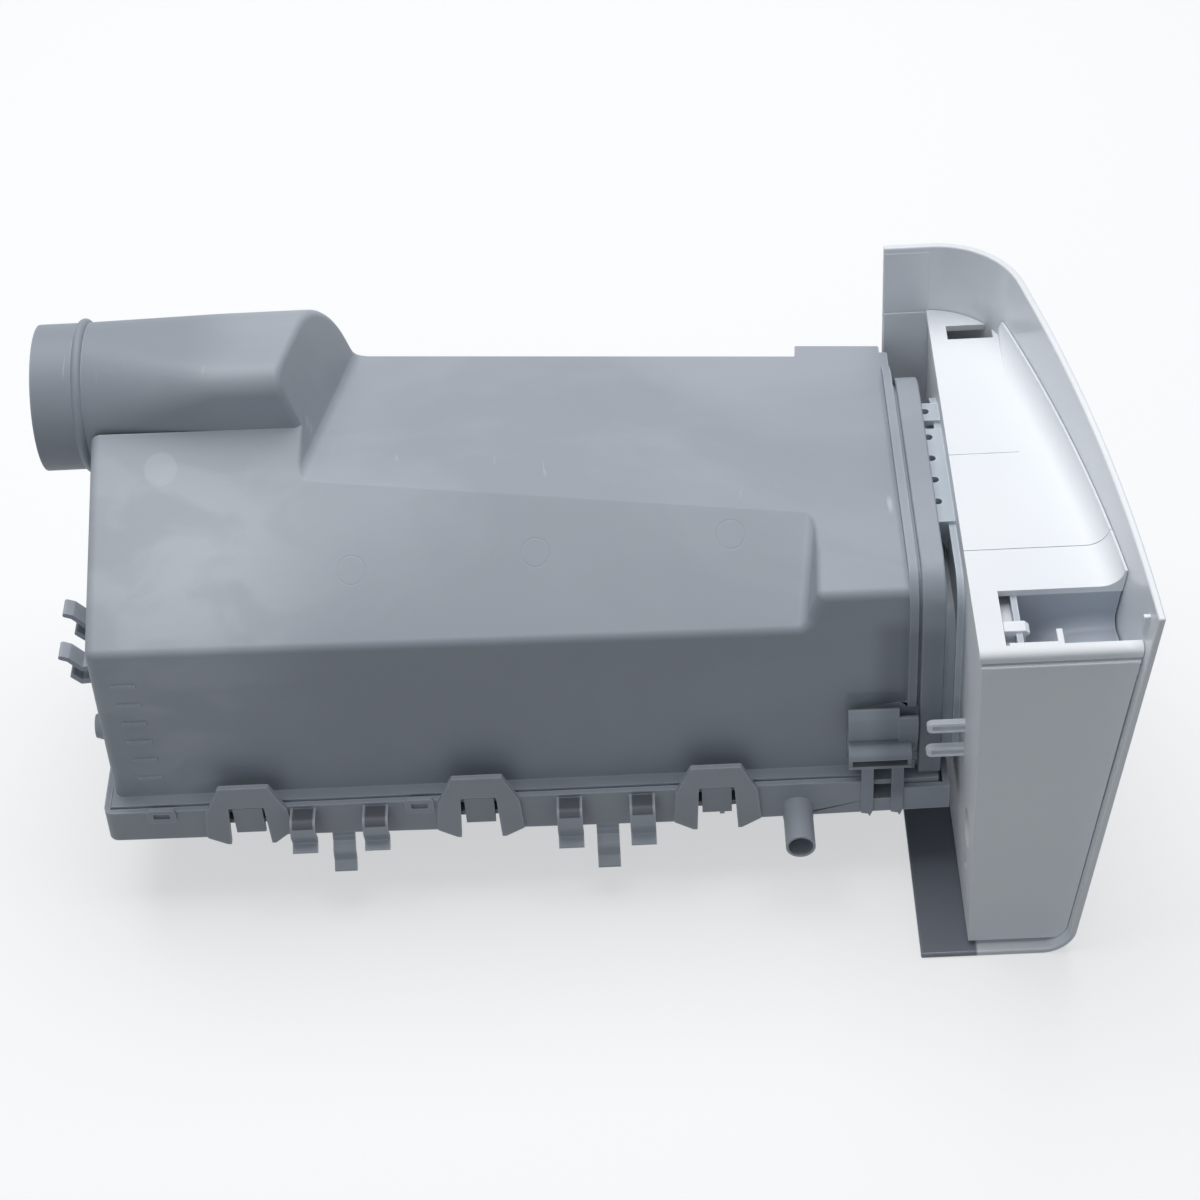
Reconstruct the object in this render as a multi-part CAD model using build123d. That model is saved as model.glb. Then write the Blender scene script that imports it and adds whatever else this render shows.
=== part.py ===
from build123d import *
import math
import os

# Detergent dispenser of a front-loading washing machine: a hopper tub with its
# water cover and a sliding drawer, lying with the tub's floor upwards.
# While drawing, x runs from the tub's rear wall to the front panel, y from the
# near side wall to the far one, and z up from the joint of tub and cover.

# Walls and clearances
wall = 2.2
thin_wall = 1.8
skin_wall = 2.5
slide_gap = 0.4
seat_gap = 0.3

# Hopper tub
tub_length = 304.0
tub_width = 138.0
edge_height = 74.5
edge_fall = 0.013
scoop_slope = 0.49
floor_height = 91.5
floor_fall = 0.06
ridge_x = 269.0
ridge_lean = 0.30
brow_height = 87.5
brow_slope = 0.19
corner_radius = 4.0
bulge_start = 268.0
bulge_end = 301.0
bulge_depth = 6.0
bracket_x = 278.5
bracket_length = 26.5
bracket_step = 20.0

# Outlet duct and spigot
spigot_radius = 28.0
spigot_wall = 2.4
spigot_length = 21.5
spigot_y = 109.8
spigot_z = 108.5
bead_x = -4.0
bead_height = 1.6
bead_width = 4.0
duct_near = 79.5
duct_top = 136.5
duct_straight = 48.0
duct_radius = 9.0
duct_far_radius = 26.0
duct_foot_x = 82.0
duct_foot_y = 75.0
duct_foot_z = 103.0

# Collar at the drawer opening
slot_width = 1.2
neck_inset = 3.0
collar_thickness = 8.6
collar_near = -4.0
collar_far = 131.0
collar_top = 95.5
collar_bottom = -2.6
collar_near_radius = 16.0
collar_far_radius = 26.0
mouth_near = 2.2
mouth_far = 127.0
mouth_top = 88.0
mouth_bottom = 1.0

# Rim flange and water cover
rim_height = 3.0
rim_overhang = 5.2
rim_end = 286.0
skirt_gap = 0.4
skirt_drop = 20.0
skirt_front_drop = 18.0
deck_depth = 12.0
plate_thickness = 2.4
cover_front = 317.0
latch_positions = [51.0, 139.0, 229.0]
latch_rise = 12.0
latch_window = 15.5
latch_foot = 33.0
latch_head = 19.0
latch_gap = 0.8
lug_top = 0.8
hook_groups = [86.0, 187.0]
hook_pitch = 27.5
hook_width = 9.6
hook_reach = 9.0
hook_drop = 22.0
middle_hook_drop = 34.0
strap = 1.8
loop_positions = [18.5, 116.5]
fork_x = 291.5
fork_gap = 7.5
fork_width = 16.5

# Hose nipple on the cover and the two water inlets
nipple_x = 259.5
nipple_z = -13.5
nipple_length = 20.0
nipple_root = 6.0
nipple_root_radius = 6.3
nipple_tip_radius = 5.6
nipple_bore = 4.0
inlet_x = 41.0
inlet_positions = [96.0, 122.0]
inlet_radius = 6.5
inlet_bore = 4.6
inlet_end = -36.0

# Drawer tray
tray_rear = 12.0
tray_near = 5.0
tray_far = 123.0
tray_floor = 68.0
tray_rim = 3.4
tray_flange = 2.0
tray_divider = 74.0
tray_cross = 196.0
tray_front = 318.5
front_lip_top = 89.0

# Handle
handle_rear = 321.0
handle_near = -50.0
handle_low = -45.5
plate_top = 102.5
plate_split = 4.5
cove_radius = 7.0
cove_lip = 0.8
hole_radius = 8.0
hole_y = -32.0
hole_z = -3.0
grip_x0 = 329.5
grip_y0 = -45.5
grip_y1 = -17.5
grip_depth = 26.0
grip_rise = 15.0
ramp_length = 28.0
bowl_set_in = 6.7
bowl_near_gap = 0.4
prong_reach = 14.0
prong_height = 5.0
prong_levels = [23.0, 12.5]
bar_radius = 3.8
bar_height = 7.5

# Outer front skin
front_radius = 900.0
end_radius = 34.0
sweep_angle = 15.0
end_center_x = 320.0
skin_far = 150.0
skin_near = -54.0
skin_rear = 303.0
skin_low = -50.0
rim_near_z = 119.5
rim_far_z = 132.5
front_lean = 0.132
foot_radius = 11.0

# The part stands on the lower flange of its skin, centred under its box
skin_half_near = math.sqrt(
    front_radius**2
    - (skin_near - (skin_far - end_radius) + (front_radius - end_radius)
       * math.sin(math.radians(sweep_angle)))**2)
front_x = (end_center_x - (front_radius - end_radius)
           * math.cos(math.radians(sweep_angle)) + skin_half_near)
centre_x = (front_x - spigot_length) / 2
centre_y = (skin_near + skin_far) / 2
to_row_frame = Pos(-centre_x, -centre_y, -skin_low)


def block(x0, x1, y0, y1, z0, z1):
    """A box between two corners."""
    return Pos((x0 + x1) / 2, (y0 + y1) / 2, (z0 + z1) / 2) * Box(x1 - x0, y1 - y0, z1 - z0)


def across(x):
    """Drawing plane across the tub: its u runs along y, its v along z."""
    return Plane(origin=(x, 0, 0), x_dir=(0, 1, 0), z_dir=(1, 0, 0))


def along(y):
    """Drawing plane along the tub: its u runs along x, its v along z."""
    return Plane(origin=(0, y, 0), x_dir=(1, 0, 0), z_dir=(0, -1, 0))


def rounded(corners, radii):
    """A face with straight sides and a radius at each corner."""
    return make_face(FilletPolyline(*corners, radius=radii, close=True))


def rounded_box(u0, u1, v0, v1, radii):
    """A rectangle with its own radius at each corner, from the lower left one."""
    return rounded([(u0, v0), (u1, v0), (u1, v1), (u0, v1)], radii)


def below(shape, origin, normal, inset=0.0):
    """The part of a shape under a plane that is lowered by inset."""
    cut = Plane(origin=origin, z_dir=normal).offset(-inset)
    return split(shape, bisect_by=cut, keep=Keep.BOTTOM)


def above(shape, origin, normal, inset=0.0):
    """The part of a shape over a plane that is lowered by inset."""
    cut = Plane(origin=origin, z_dir=normal).offset(-inset)
    return split(shape, bisect_by=cut, keep=Keep.TOP)


def strip(path, thickness, width, x0):
    """A bent strap: a line across the tub, thickened and drawn out along x."""
    face = make_face(offset(path, amount=thickness / 2, kind=Kind.ARC))
    return extrude(across(x0) * face, width)


def tube(start, end, r0, r1):
    """A round cone or cylinder between two points on an axis-parallel line."""
    direction = Vector(*end) - Vector(*start)
    plane = Plane(origin=start, z_dir=direction)
    if abs(r0 - r1) < 1e-6:
        return extrude(plane * Circle(r0), direction.length)
    far = Plane(origin=end, z_dir=direction)
    return loft([plane * Circle(r0), far * Circle(r1)])


def duct_slope():
    """Origin and normal of the duct's sloping front face."""
    foot = Vector(14.0, 60.0, 0.0)
    rise = Vector(-10.0, 5.0, duct_top - duct_foot_z)
    return (duct_foot_x, duct_foot_y, duct_foot_z), foot.cross(rise)


def duct_throat(inset):
    """The duct's body, from the round pipe to the flat-topped section."""
    middle = (duct_near + tub_width) / 2
    ring = rounded_box(spigot_y - spigot_radius + inset, spigot_y + spigot_radius - inset,
                       spigot_z - spigot_radius + inset, spigot_z + spigot_radius - inset,
                       spigot_radius - inset - 0.02)
    half = (tub_width - duct_near) / 2 - inset
    low = spigot_z - spigot_radius + inset
    throat = rounded_box(middle - half, middle + half, low, duct_top - inset,
                         [1.0, 1.0, duct_far_radius - inset, duct_radius - inset])
    slope_origin, slope_normal = duct_slope()
    body = extrude(across(duct_straight) * throat, 60)
    body = below(body, slope_origin, slope_normal, inset)
    return body + loft([across(bead_x) * ring, across(duct_straight) * throat])


def edges_at(shape, *spots):
    """The edges whose middles lie nearest to the given spots."""
    found = []
    for spot in spots:
        found.append(min(shape.edges(), key=lambda e: (e.position_at(0.5) - Vector(*spot)).length))
    return found


def tub_form(inset):
    """The tub's closed outer form, or its cavity when it is inset by a wall."""
    floor_origin = (ridge_x, 0, floor_height)
    floor_normal = (floor_fall, 0, 1)
    slope_origin, slope_normal = duct_slope()
    scoop_origin = (0, 0, edge_height)
    scoop_normal = (edge_fall, -scoop_slope, 1)
    form = block(inset, tub_length - inset, inset, tub_width - inset, 0, duct_top)
    bulge = block(bulge_start + inset, bulge_end - inset, tub_width / 2,
                  tub_width + bulge_depth - inset, 0, duct_top)
    form = form + bulge
    reach = block(-20, 340, -20, 180, 60, 180)
    front = above(reach, floor_origin, floor_normal, inset)
    front = above(front, slope_origin, slope_normal, inset)
    form = form - front
    scoop = block(-20, 340, -20, duct_near + inset, 60, 180)
    scoop = above(scoop, scoop_origin, scoop_normal, inset)
    scoop = below(scoop, (ridge_x, 0, floor_height), (1, 0, -ridge_lean), -inset)
    form = form - scoop
    brow = above(reach, (ridge_x, 0, brow_height), (0, -brow_slope, 1), inset)
    brow = above(brow, (ridge_x - 2, 0, 0), (1, 0, 0))
    form = form - brow
    form = form - block(-20, 110, duct_near + inset, 180, spigot_z - inset, 180)
    return form + duct_throat(inset)


def soft_edges(form):
    """The mould radii of the tub's outer form."""
    form = fillet(edges_at(form, (182, 138, 96.7)), corner_radius)
    form = fillet(edges_at(form, (266, 21, 81)), corner_radius)
    form = fillet(edges_at(form, (0, 0, 37), (131, 0, 72.8), (0, 39, 94), (265, 0, 79),
                           (286, 0, 87.5)), corner_radius)
    form = fillet(edges_at(form, (268.4, 10, 89.5)), 3.0)
    form = fillet(edges_at(form, (88, 99, 102.3)), corner_radius + 0.5)
    form = fillet(edges_at(form, (78.7, 109, duct_top)), corner_radius - 0.4)
    form = fillet(edges_at(form, (174, 51, 97)), 2.1)
    return fillet(edges_at(form, (284, 144, 90.6), (268, 144, 46), (301, 144, 45)), 3.0)


def spigot(inset):
    """The round outlet pipe, or its bore."""
    radius = spigot_radius - inset
    return tube((-spigot_length - inset, spigot_y, spigot_z), (bead_x + 1, spigot_y, spigot_z),
                radius, radius)


def collar():
    """The frame round the drawer opening, with the slot for the front panel's sheet."""
    outer = rounded_box(collar_near, collar_far, collar_bottom, collar_top,
                        [3.0, 3.0, collar_far_radius, collar_near_radius])
    neck = rounded_box(collar_near + neck_inset, collar_far - neck_inset,
                       collar_bottom + 1.0, collar_top - neck_inset,
                       [3.0, 3.0, collar_far_radius - 3.0, collar_near_radius - 3.0])
    lip = tub_length + slot_width
    frame = extrude(across(lip) * outer, collar_thickness)
    frame = fillet(frame.edges().filter_by(GeomType.LINE).filter_by(Axis.Y).group_by(Axis.Z)[-1], 0.8)
    seat = extrude(across(tub_length - 3.2) * rounded_box(
        collar_near + 1.2, tub_width + 0.01, 0, collar_top - 1.5, [0.5, 0.5, 22.0, 15.0]), 3.2)
    return frame + extrude(across(tub_length - 1) * neck, slot_width + 1.5) + seat


def mouth():
    """The opening that the drawer slides through."""
    face = rounded_box(mouth_near, mouth_far, mouth_bottom, mouth_top, [1.0, 1.0, 22.0, 12.0])
    return extrude(across(tub_length - 6) * face, 30)


def rim():
    """The flange that the cover closes on, with the latch lugs under it."""
    outer = block(-0.9, rim_end, -rim_overhang, tub_width + rim_overhang, -rim_height, 0.4)
    lugs = Part()
    for x in latch_positions:
        for side in (-1, 1):
            face_y = -rim_overhang if side < 0 else tub_width + rim_overhang
            profile = make_face(Polyline(
                (face_y, lug_top), (face_y + side * 3.0, lug_top - 1.4), (face_y + side * 1.4, -15.0),
                (face_y - side * 0.1, -15.0), (face_y - side * 0.1, lug_top), close=True))
            lugs += extrude(across(x - 5.6) * profile, 11.2)
    return outer + lugs


def rails():
    """Guide channels for the drawer's rim along both side walls."""
    parts = Part()
    low = tray_rim - slide_gap
    high = tray_rim + tray_flange + slide_gap
    for z0, z1 in ((low - 1.8, low), (high, high + 1.8)):
        parts += block(wall, tub_length - 1, wall - 0.4, tray_near - 0.8, z0, z1)
        parts += block(wall, tub_length - 1, tray_far + 0.8, tub_width - wall + 0.4, z0, z1)
    return parts


def panel_hook():
    """The channel bracket on the near wall that hangs on the machine's cross bar."""
    outline = [(0.5, 38.5), (-6.5, 38.0), (-6.8, 36.8), (-3.6, 34.0), (-3.2, 28.0), (-5.0, 23.0),
               (-10.4, 20.4), (-10.8, 12.4), (-8.8, 11.2), (-7.6, 15.6), (-2.4, 16.2), (-2.0, 9.0),
               (-9.4, 6.6), (-9.6, 4.6), (0.5, 4.6)]
    profile = rounded(outline, [0, 0.4, 0.4, 2.0, 6.0, 4.0, 1.0, 0.6, 0.5, 1.5, 0.5, 1.0, 0.4, 0.4, 0])
    hook = extrude(across(bracket_x) * profile, bracket_length)
    return hook - block(bracket_x + bracket_step, bracket_x + bracket_length + 1, -20, -0.01, 33.0, 40)


def rear_hooks():
    """Two cable hooks and a stop boss on the rear wall."""
    parts = Part()
    for y, z in ((37.0, 60.0), (18.0, 56.0)):
        arm = make_face(offset(Polyline((0.5, z), (-5.0, z - 1.0), (-9.5, z + 4.0), (-12.0, z + 5.0)),
                               amount=1.0, kind=Kind.ARC))
        parts += extrude(along(y + 4) * arm, 8)
        claw = make_face(offset(Polyline((0.5, z - 7), (-6.0, z - 7.5), (-9.0, z - 4.5)),
                                amount=1.0, kind=Kind.ARC))
        parts += extrude(along(y + 4) * claw, 8)
    boss = tube((0.5, 9.0, 30.0), (-3.0, 9.0, 30.0), 5.5, 4.5)
    return parts + boss


def ladder():
    """Six short raised bars on the near wall."""
    bars = Part()
    for step in range(6):
        z = 59.0 - 9.6 * step
        x = 7.6 + 0.6 * step
        bars += block(x, x + 9.2, -0.7, 0.5, z - 1.4, z)
    return bars


def hopper_tub():
    """The one-piece moulded tub."""
    outer = soft_edges(tub_form(0.0))
    body = outer + spigot(0.0) + collar() + rim()
    bead = Pos(bead_x, spigot_y, spigot_z) * Rot(0, 90, 0) * Torus(spigot_radius - 0.4, 2.0)
    body += bead
    cavity = tub_form(wall)
    cavity += block(wall, tub_length - wall, wall, tub_width - wall, -20, 1)
    body -= cavity
    body -= spigot(spigot_wall)
    body -= mouth()
    return body + rails() + panel_hook() + rear_hooks() + ladder()


def latch_frame(x, side):
    """A hoop on the skirt that snaps over a lug of the tub's rim."""
    inner = -rim_overhang - skirt_gap
    face = rounded([(x - latch_foot / 2, -skirt_drop + 2), (x - latch_foot / 2 + 1, -1.0),
                    (x - latch_head / 2, latch_rise), (x + latch_head / 2, latch_rise),
                    (x + latch_foot / 2 - 1, -1.0), (x + latch_foot / 2, -skirt_drop + 2),
                    (x + latch_window / 2 + 1.5, -skirt_drop - 3.0),
                    (x + latch_window / 2, -skirt_drop - 3.0),
                    (x + latch_window / 2 - 1.0, lug_top + latch_gap),
                    (x - latch_window / 2 + 1.0, lug_top + latch_gap),
                    (x - latch_window / 2, -skirt_drop - 3.0),
                    (x - latch_window / 2 - 1.5, -skirt_drop - 3.0)],
                   [0, 3.0, 1.0, 1.0, 3.0, 0, 0, 0, 1.0, 1.0, 0, 0])
    hoop = extrude(along(inner - 2.2) * face, 2.2)
    if side > 0:
        hoop = mirror(hoop, about=Plane.XZ.offset(-tub_width / 2))
    return hoop


def near_hook(x):
    """A curled strap that holds a cable against the skirt."""
    y0 = -rim_overhang - skirt_gap - skirt_wall_out()
    path = FilletPolyline((y0 + 1.0, -3.0), (y0 - hook_reach + 1.6, -3.5), (y0 - hook_reach, -12.0),
                          (y0 - hook_reach + 2.4, -hook_drop + 2.0), (y0 - hook_reach - 1.0, -hook_drop - 1.5),
                          radius=2.6)
    return strip(path, strap, hook_width, x - hook_width / 2)


def skirt_wall_out():
    """How far the skirt's outer face stands off its inner face."""
    return thin_wall + 0.6


def middle_hook(x):
    """A J-shaped strap that carries the cable from below."""
    y0 = -rim_overhang - skirt_gap
    path = FilletPolyline((y0 - 1.0, -deck_depth), (y0 - 1.0, -skirt_drop - 3.0),
                          (y0 - 5.5, -skirt_drop - 6.0), (y0 - 5.5, -middle_hook_drop + 3.0),
                          (y0 - 8.5, -middle_hook_drop), radius=2.4)
    return strip(path, strap, hook_width - 1.0, x - hook_width / 2 + 0.5)


def water_cover():
    """The cover with its skirt, latches, cable hooks, nipple and water inlets."""
    near = -rim_overhang - skirt_gap
    far = tub_width + rim_overhang + skirt_gap
    out = skirt_wall_out()
    shell = block(-1.3 - out, cover_front, near - out, far + out, -skirt_drop, -0.5)
    shell -= block(rim_end + 1 + out, cover_front + 1, collar_far + 1 + out, far + out + 1,
                   -skirt_drop - 1, 0)
    shell = fillet(shell.edges().filter_by(Axis.Z).group_by(Axis.X)[0], 4.0)
    for low, high in ((-deck_depth, 0), (-skirt_drop - 1, -deck_depth - plate_thickness)):
        shell -= block(-1.3, rim_end + 1, near, far, low, high)
        shell -= block(rim_end, cover_front - out, near, collar_far + 1, low, high)
    shell -= block(fork_x + fork_width / 2, cover_front + 1, near - out - 1, far + out + 1, -6.0, 1)
    for x in latch_positions:
        for y0, y1 in ((near - out - 1, near + 0.5), (far - 0.5, far + out + 1)):
            shell -= block(x - latch_window / 2 - 0.8, x + latch_window / 2 + 0.8, y0, y1,
                           -skirt_drop - 1, 1)
    shell -= block(fork_x - fork_gap / 2, fork_x + fork_gap / 2, near - out - 1, near + 0.5, -deck_depth, 1)
    parts = shell
    for x in latch_positions:
        for side in (-1, 1):
            parts += latch_frame(x, side)
    for x in hook_groups:
        parts += near_hook(x - hook_pitch / 2)
        parts += near_hook(x + hook_pitch / 2)
        parts += middle_hook(x)
    for x in loop_positions:
        ring = rounded_box(x - 5.4, x + 5.4, -7.0, 1.2, 1.5) - rounded_box(x - 3.2, x + 3.2, -4.2, -0.6, 0.8)
        parts += extrude(along(near - out + 0.2) * ring, 1.6)
    for index in range(7):
        x = 20.0 + 42.0 * index
        parts += block(x, x + thin_wall, near - 0.1, far + 0.1, -skirt_drop + 1, -deck_depth - 0.1)
    root_end = near - out - nipple_root
    parts += tube((nipple_x, near - 0.5, nipple_z), (nipple_x, root_end, nipple_z),
                  nipple_root_radius, nipple_tip_radius)
    parts += tube((nipple_x, root_end, nipple_z), (nipple_x, near - out - nipple_length, nipple_z),
                  nipple_tip_radius, nipple_tip_radius)
    for y in inlet_positions:
        parts += tube((inlet_x, y, -deck_depth - 0.1), (inlet_x, y, inlet_end), inlet_radius, inlet_radius)
        parts -= tube((inlet_x, y, -deck_depth + 1), (inlet_x, y, inlet_end - 1), inlet_bore, inlet_bore)
    parts -= tube((nipple_x, near + 1, nipple_z), (nipple_x, near - out - nipple_length - 1, nipple_z),
                  nipple_bore, nipple_bore)
    return parts


def spray_plate():
    """The perforated plate between the cover's water channels and the drawer."""
    near = -rim_overhang + seat_gap
    far = tub_width + rim_overhang - seat_gap
    top = -rim_height
    plate = block(-1.0, rim_end, near, far, top - plate_thickness, top)
    plate += block(rim_end - 1, cover_front - 4, near, collar_far, top - plate_thickness, top)
    holes = Part()
    for row in range(2):
        for column in range(4):
            for x0, y0 in ((34.0, 26.0), (214.0, 26.0), (34.0, 90.0), (214.0, 90.0)):
                spot = (x0 + 20.0 * column, y0 + 20.0 * row)
                holes += Pos(spot[0], spot[1], top - plate_thickness / 2) * Cylinder(1.6, 6)
    plate -= holes
    walls = Part()
    for y in (14.0, 68.0, 130.0):
        walls += block(16.0, 300.0, y, y + thin_wall, -deck_depth, top - 0.1)
    for x in (16.0, 190.0, 298.2):
        walls += block(x, x + thin_wall, 14.0, 130.0 + thin_wall, -deck_depth, top - 0.1)
    return plate + walls


def drawer_tray():
    """The tray with its three compartments, open to the water cover."""
    outer = block(tray_rear, tray_front, tray_near, tray_far, tray_rim, tray_floor)
    outer = fillet(outer.edges().filter_by(Axis.Z).group_by(Axis.X)[0], 8.0)
    outer = fillet(outer.faces().sort_by(Axis.Z)[-1].edges().filter_by(Axis.X), 10.0)
    tray = outer
    for x0, x1, y0, y1 in compartments():
        room = block(x0, x1, y0, y1, tray_rim - 1, tray_floor - wall)
        room = fillet(room.edges().filter_by(Axis.Z), 5.0)
        room = fillet(room.faces().sort_by(Axis.Z)[-1].edges(), 4.0)
        tray -= room
    tray += block(tray_rear + 10, tub_length + 6, tray_near - 2.0, tray_near + 1, tray_rim,
                  tray_rim + tray_flange)
    tray += block(tray_rear + 10, tub_length + 6, tray_far - 1, tray_far + 2.0, tray_rim,
                  tray_rim + tray_flange)
    return tray + tray_front_wall()


def compartments():
    """Pre-wash, main wash and softener rooms: x and y limits."""
    t = thin_wall + 0.2
    return [(tray_rear + t, tray_front - t, tray_near + t, tray_divider - t / 2),
            (tray_rear + t, tray_cross - t / 2, tray_divider + t / 2, tray_far - t),
            (tray_cross + t / 2, tray_front - t, tray_divider + t / 2, tray_far - t)]


def tray_front_wall():
    """The tray's tall front wall that the handle is clipped to, with its drain ledge."""
    face = rounded_box(mouth_near + 1.0, mouth_far - 1.5, tray_rim, front_lip_top - 3.0,
                       [1.0, 1.0, 20.0, 11.0])
    front = extrude(across(handle_rear - 2.5) * face, 2.5)
    ledge = block(312.0, handle_rear, 38.0, 92.0, front_lip_top - 4.0, front_lip_top - 1.5)
    ledge += block(312.0, handle_rear, 97.0, 107.5, front_lip_top - 4.0, front_lip_top - 1.5)
    front += ledge
    for y in (49.5, 62.0, 74.5, 87.0, 102.5):
        front -= Pos(315.5, y, front_lip_top - 3) * Cylinder(1.7, 8)
    for y in (38.0, 67.3, 90.2):
        front += extrude(along(y + thin_wall) * make_face(Polyline(
            (312.5, front_lip_top - 3), (handle_rear - 1, front_lip_top - 3),
            (handle_rear - 1, front_lip_top - 18), close=True)), thin_wall)
    return front


def siphon_cap(x0, y0):
    """A lift-out siphon cap of the softener room, standing on its tube."""
    floor = tray_floor - wall
    cap = block(x0, x0 + 34, y0, y0 + 34, floor - 52, floor - 49.5)
    cap = fillet(cap.edges().filter_by(Axis.Z), 4.0)
    stem = tube((x0 + 17, y0 + 17, floor - 49.6), (x0 + 17, y0 + 17, floor - 3), 6.0, 6.0)
    stem -= tube((x0 + 17, y0 + 17, floor - 48), (x0 + 17, y0 + 17, floor - 2), 4.4, 4.4)
    legs = Part()
    for dx, dy in ((2.5, 15.5), (28.5, 15.5)):
        legs += block(x0 + dx, x0 + dx + 3, y0 + dy, y0 + dy + 3, floor - 49.6, floor)
    return cap + stem + legs


def plan_curve(inset, near_end, rear_end):
    """The skin's plan: a long front arc, a tighter end arc and the straight end wall."""
    sweep = math.radians(sweep_angle)
    end_y = skin_far - end_radius
    front_cx = end_center_x - (front_radius - end_radius) * math.cos(sweep)
    front_cy = end_y - (front_radius - end_radius) * math.sin(sweep)
    long_r = front_radius - inset
    short_r = end_radius - inset
    start_angle = math.asin((near_end - front_cy) / long_r)
    mid_angle = (start_angle + sweep) / 2
    start = (front_cx + long_r * math.cos(start_angle), near_end)
    middle = (front_cx + long_r * math.cos(mid_angle), front_cy + long_r * math.sin(mid_angle))
    joint = (end_center_x + short_r * math.cos(sweep), end_y + short_r * math.sin(sweep))
    half = (sweep + math.pi / 2) / 2
    bend = (end_center_x + short_r * math.cos(half), end_y + short_r * math.sin(half))
    turn = (end_center_x, end_y + short_r)
    outline = Curve() + [
        ThreePointArc(start, middle, joint),
        ThreePointArc(joint, bend, turn),
        Line(turn, (rear_end, end_y + short_r)),
        Line((rear_end, end_y + short_r), (rear_end, near_end)),
        Line((rear_end, near_end), start)]
    return make_face(outline)


def leaning_form(inset, near_end, rear_end, low, radius):
    """The plan drawn up along the front's lean, standing on a rounded foot."""
    sections = []
    for step in range(6):
        turn = math.radians(18 * step)
        height = low + radius * (1 - math.cos(turn))
        shift = front_lean * (height - rim_near_z)
        plan = plan_curve(inset + radius * (1 - math.sin(turn)), near_end, rear_end - 40)
        sections.append(Pos(shift, 0, height) * plan)
    foot = loft(sections)
    height = rim_far_z + 20 - low - radius
    form = foot + extrude(sections[-1], height * math.hypot(1, front_lean), dir=(front_lean, 0, 1))
    return above(form, (rear_end, 0, 0), (1, 0, 0))


def skin_room(clearance):
    """The space inside the front skin, less a clearance."""
    inset = skin_wall + clearance
    return leaning_form(inset, skin_near - 20, skin_rear - 20, skin_low + inset, foot_radius - inset)


def cove(y0, y1):
    """The plates' edge, curving up along the skin, between two places along it."""
    inset = skin_wall + seat_gap + cove_lip
    hollow = leaning_form(inset, skin_near - 30, skin_rear - 30, plate_top, cove_radius)
    band = block(346.0, 500, y0, y1, plate_top - 1.0, plate_top + cove_radius)
    return (skin_room(seat_gap) & band) - hollow


def front_skin():
    """The curved outer panel with its end wall and lower flange."""
    outer = leaning_form(0.0, skin_near, skin_rear, skin_low, foot_radius)
    rise = (rim_far_z - rim_near_z) / (skin_far - skin_near)
    outer = below(outer, (0, skin_near, rim_near_z), (0, -rise, 1))
    return outer - skin_room(0.0)


def handle_room(inset):
    """The white handle's outer form, or the room inside its walls."""
    low = handle_low + (inset if inset else 0)
    room = skin_room(seat_gap + (skin_wall if inset else 0))
    keep = block(handle_rear + inset, 500, handle_near + inset, 200, low, plate_top - skin_wall)
    return room & keep


def handle_body():
    """The white carrier: near wall, rear wall and floor, open to the skin."""
    outer = handle_room(0.0)
    hollow = block(handle_rear + skin_wall, 500, handle_near + skin_wall, 200,
                   handle_low + skin_wall, plate_top)
    body = outer - hollow
    body -= block(handle_rear - 2, 500, handle_near - 1, grip_y0 + seat_gap, plate_top - bar_height - seat_gap,
                  plate_top + 1)
    ribs = Part()
    inside = skin_room(seat_gap)
    for y in (40.0, 100.0):
        ribs += block(handle_rear + 1, 500, y, y + thin_wall, handle_low + 1, plate_top - skin_wall) & inside
    for z in (-10.0,):
        ribs += block(handle_rear + 1, 500, handle_near + 1, 200, z, z + thin_wall) & inside
    body += ribs
    body -= tube((handle_rear - 1, hole_y, hole_z), (handle_rear + 4, hole_y, hole_z), hole_radius, hole_radius)
    body -= block(handle_rear - 1, handle_rear + 4, -34.0, -30.0, -24.0, -18.0)
    for z in prong_levels:
        body += prong(z)
    return body


def prong(z):
    """A U-shaped guide finger on the handle's rear face."""
    half = prong_height / 2
    finger = block(handle_rear - prong_reach, handle_rear + 1, -14.0, -8.0, z - half, z + half)
    finger = fillet(finger.edges().filter_by(Axis.Y).group_by(Axis.X)[0], half - 0.2)
    groove = block(handle_rear - prong_reach + 2, handle_rear, -14.5, -9.5, z - half + 1.3, z + half - 1.3)
    return finger - groove


def top_cover():
    """The white plate over the handle, far part, with its slot."""
    plate = skin_room(seat_gap) & block(handle_rear - 1.0, 500, plate_split + 0.2, 200,
                                        plate_top - skin_wall, plate_top)
    plate -= block(326.5, 344.0, 127.5, 136.0, plate_top - 10, plate_top + 1)
    plate -= block(handle_rear - 2, 352.0, 57.8, 58.2, plate_top - 0.5, plate_top + 1)
    return plate + cove(plate_split + 0.2, 127.5)


def grip_frame():
    """The white plate round the finger opening, with its rounded bar."""
    plate = skin_room(seat_gap) & block(handle_rear - 1.0, 500, handle_near, plate_split - 0.2,
                                        plate_top - skin_wall, plate_top)
    plate -= block(grip_x0, 500, grip_y0 - 1, grip_y1, plate_top - 10, plate_top + 1)
    bar = skin_room(seat_gap) & block(handle_rear - 1.0, 500, handle_near, grip_y0,
                                      plate_top - bar_height, plate_top)
    bar = fillet(bar.edges().group_by(Axis.Y)[0].group_by(Axis.Z)[-1], bar_radius)
    return plate + bar + cove(grip_y1, plate_split - 0.2)


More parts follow.
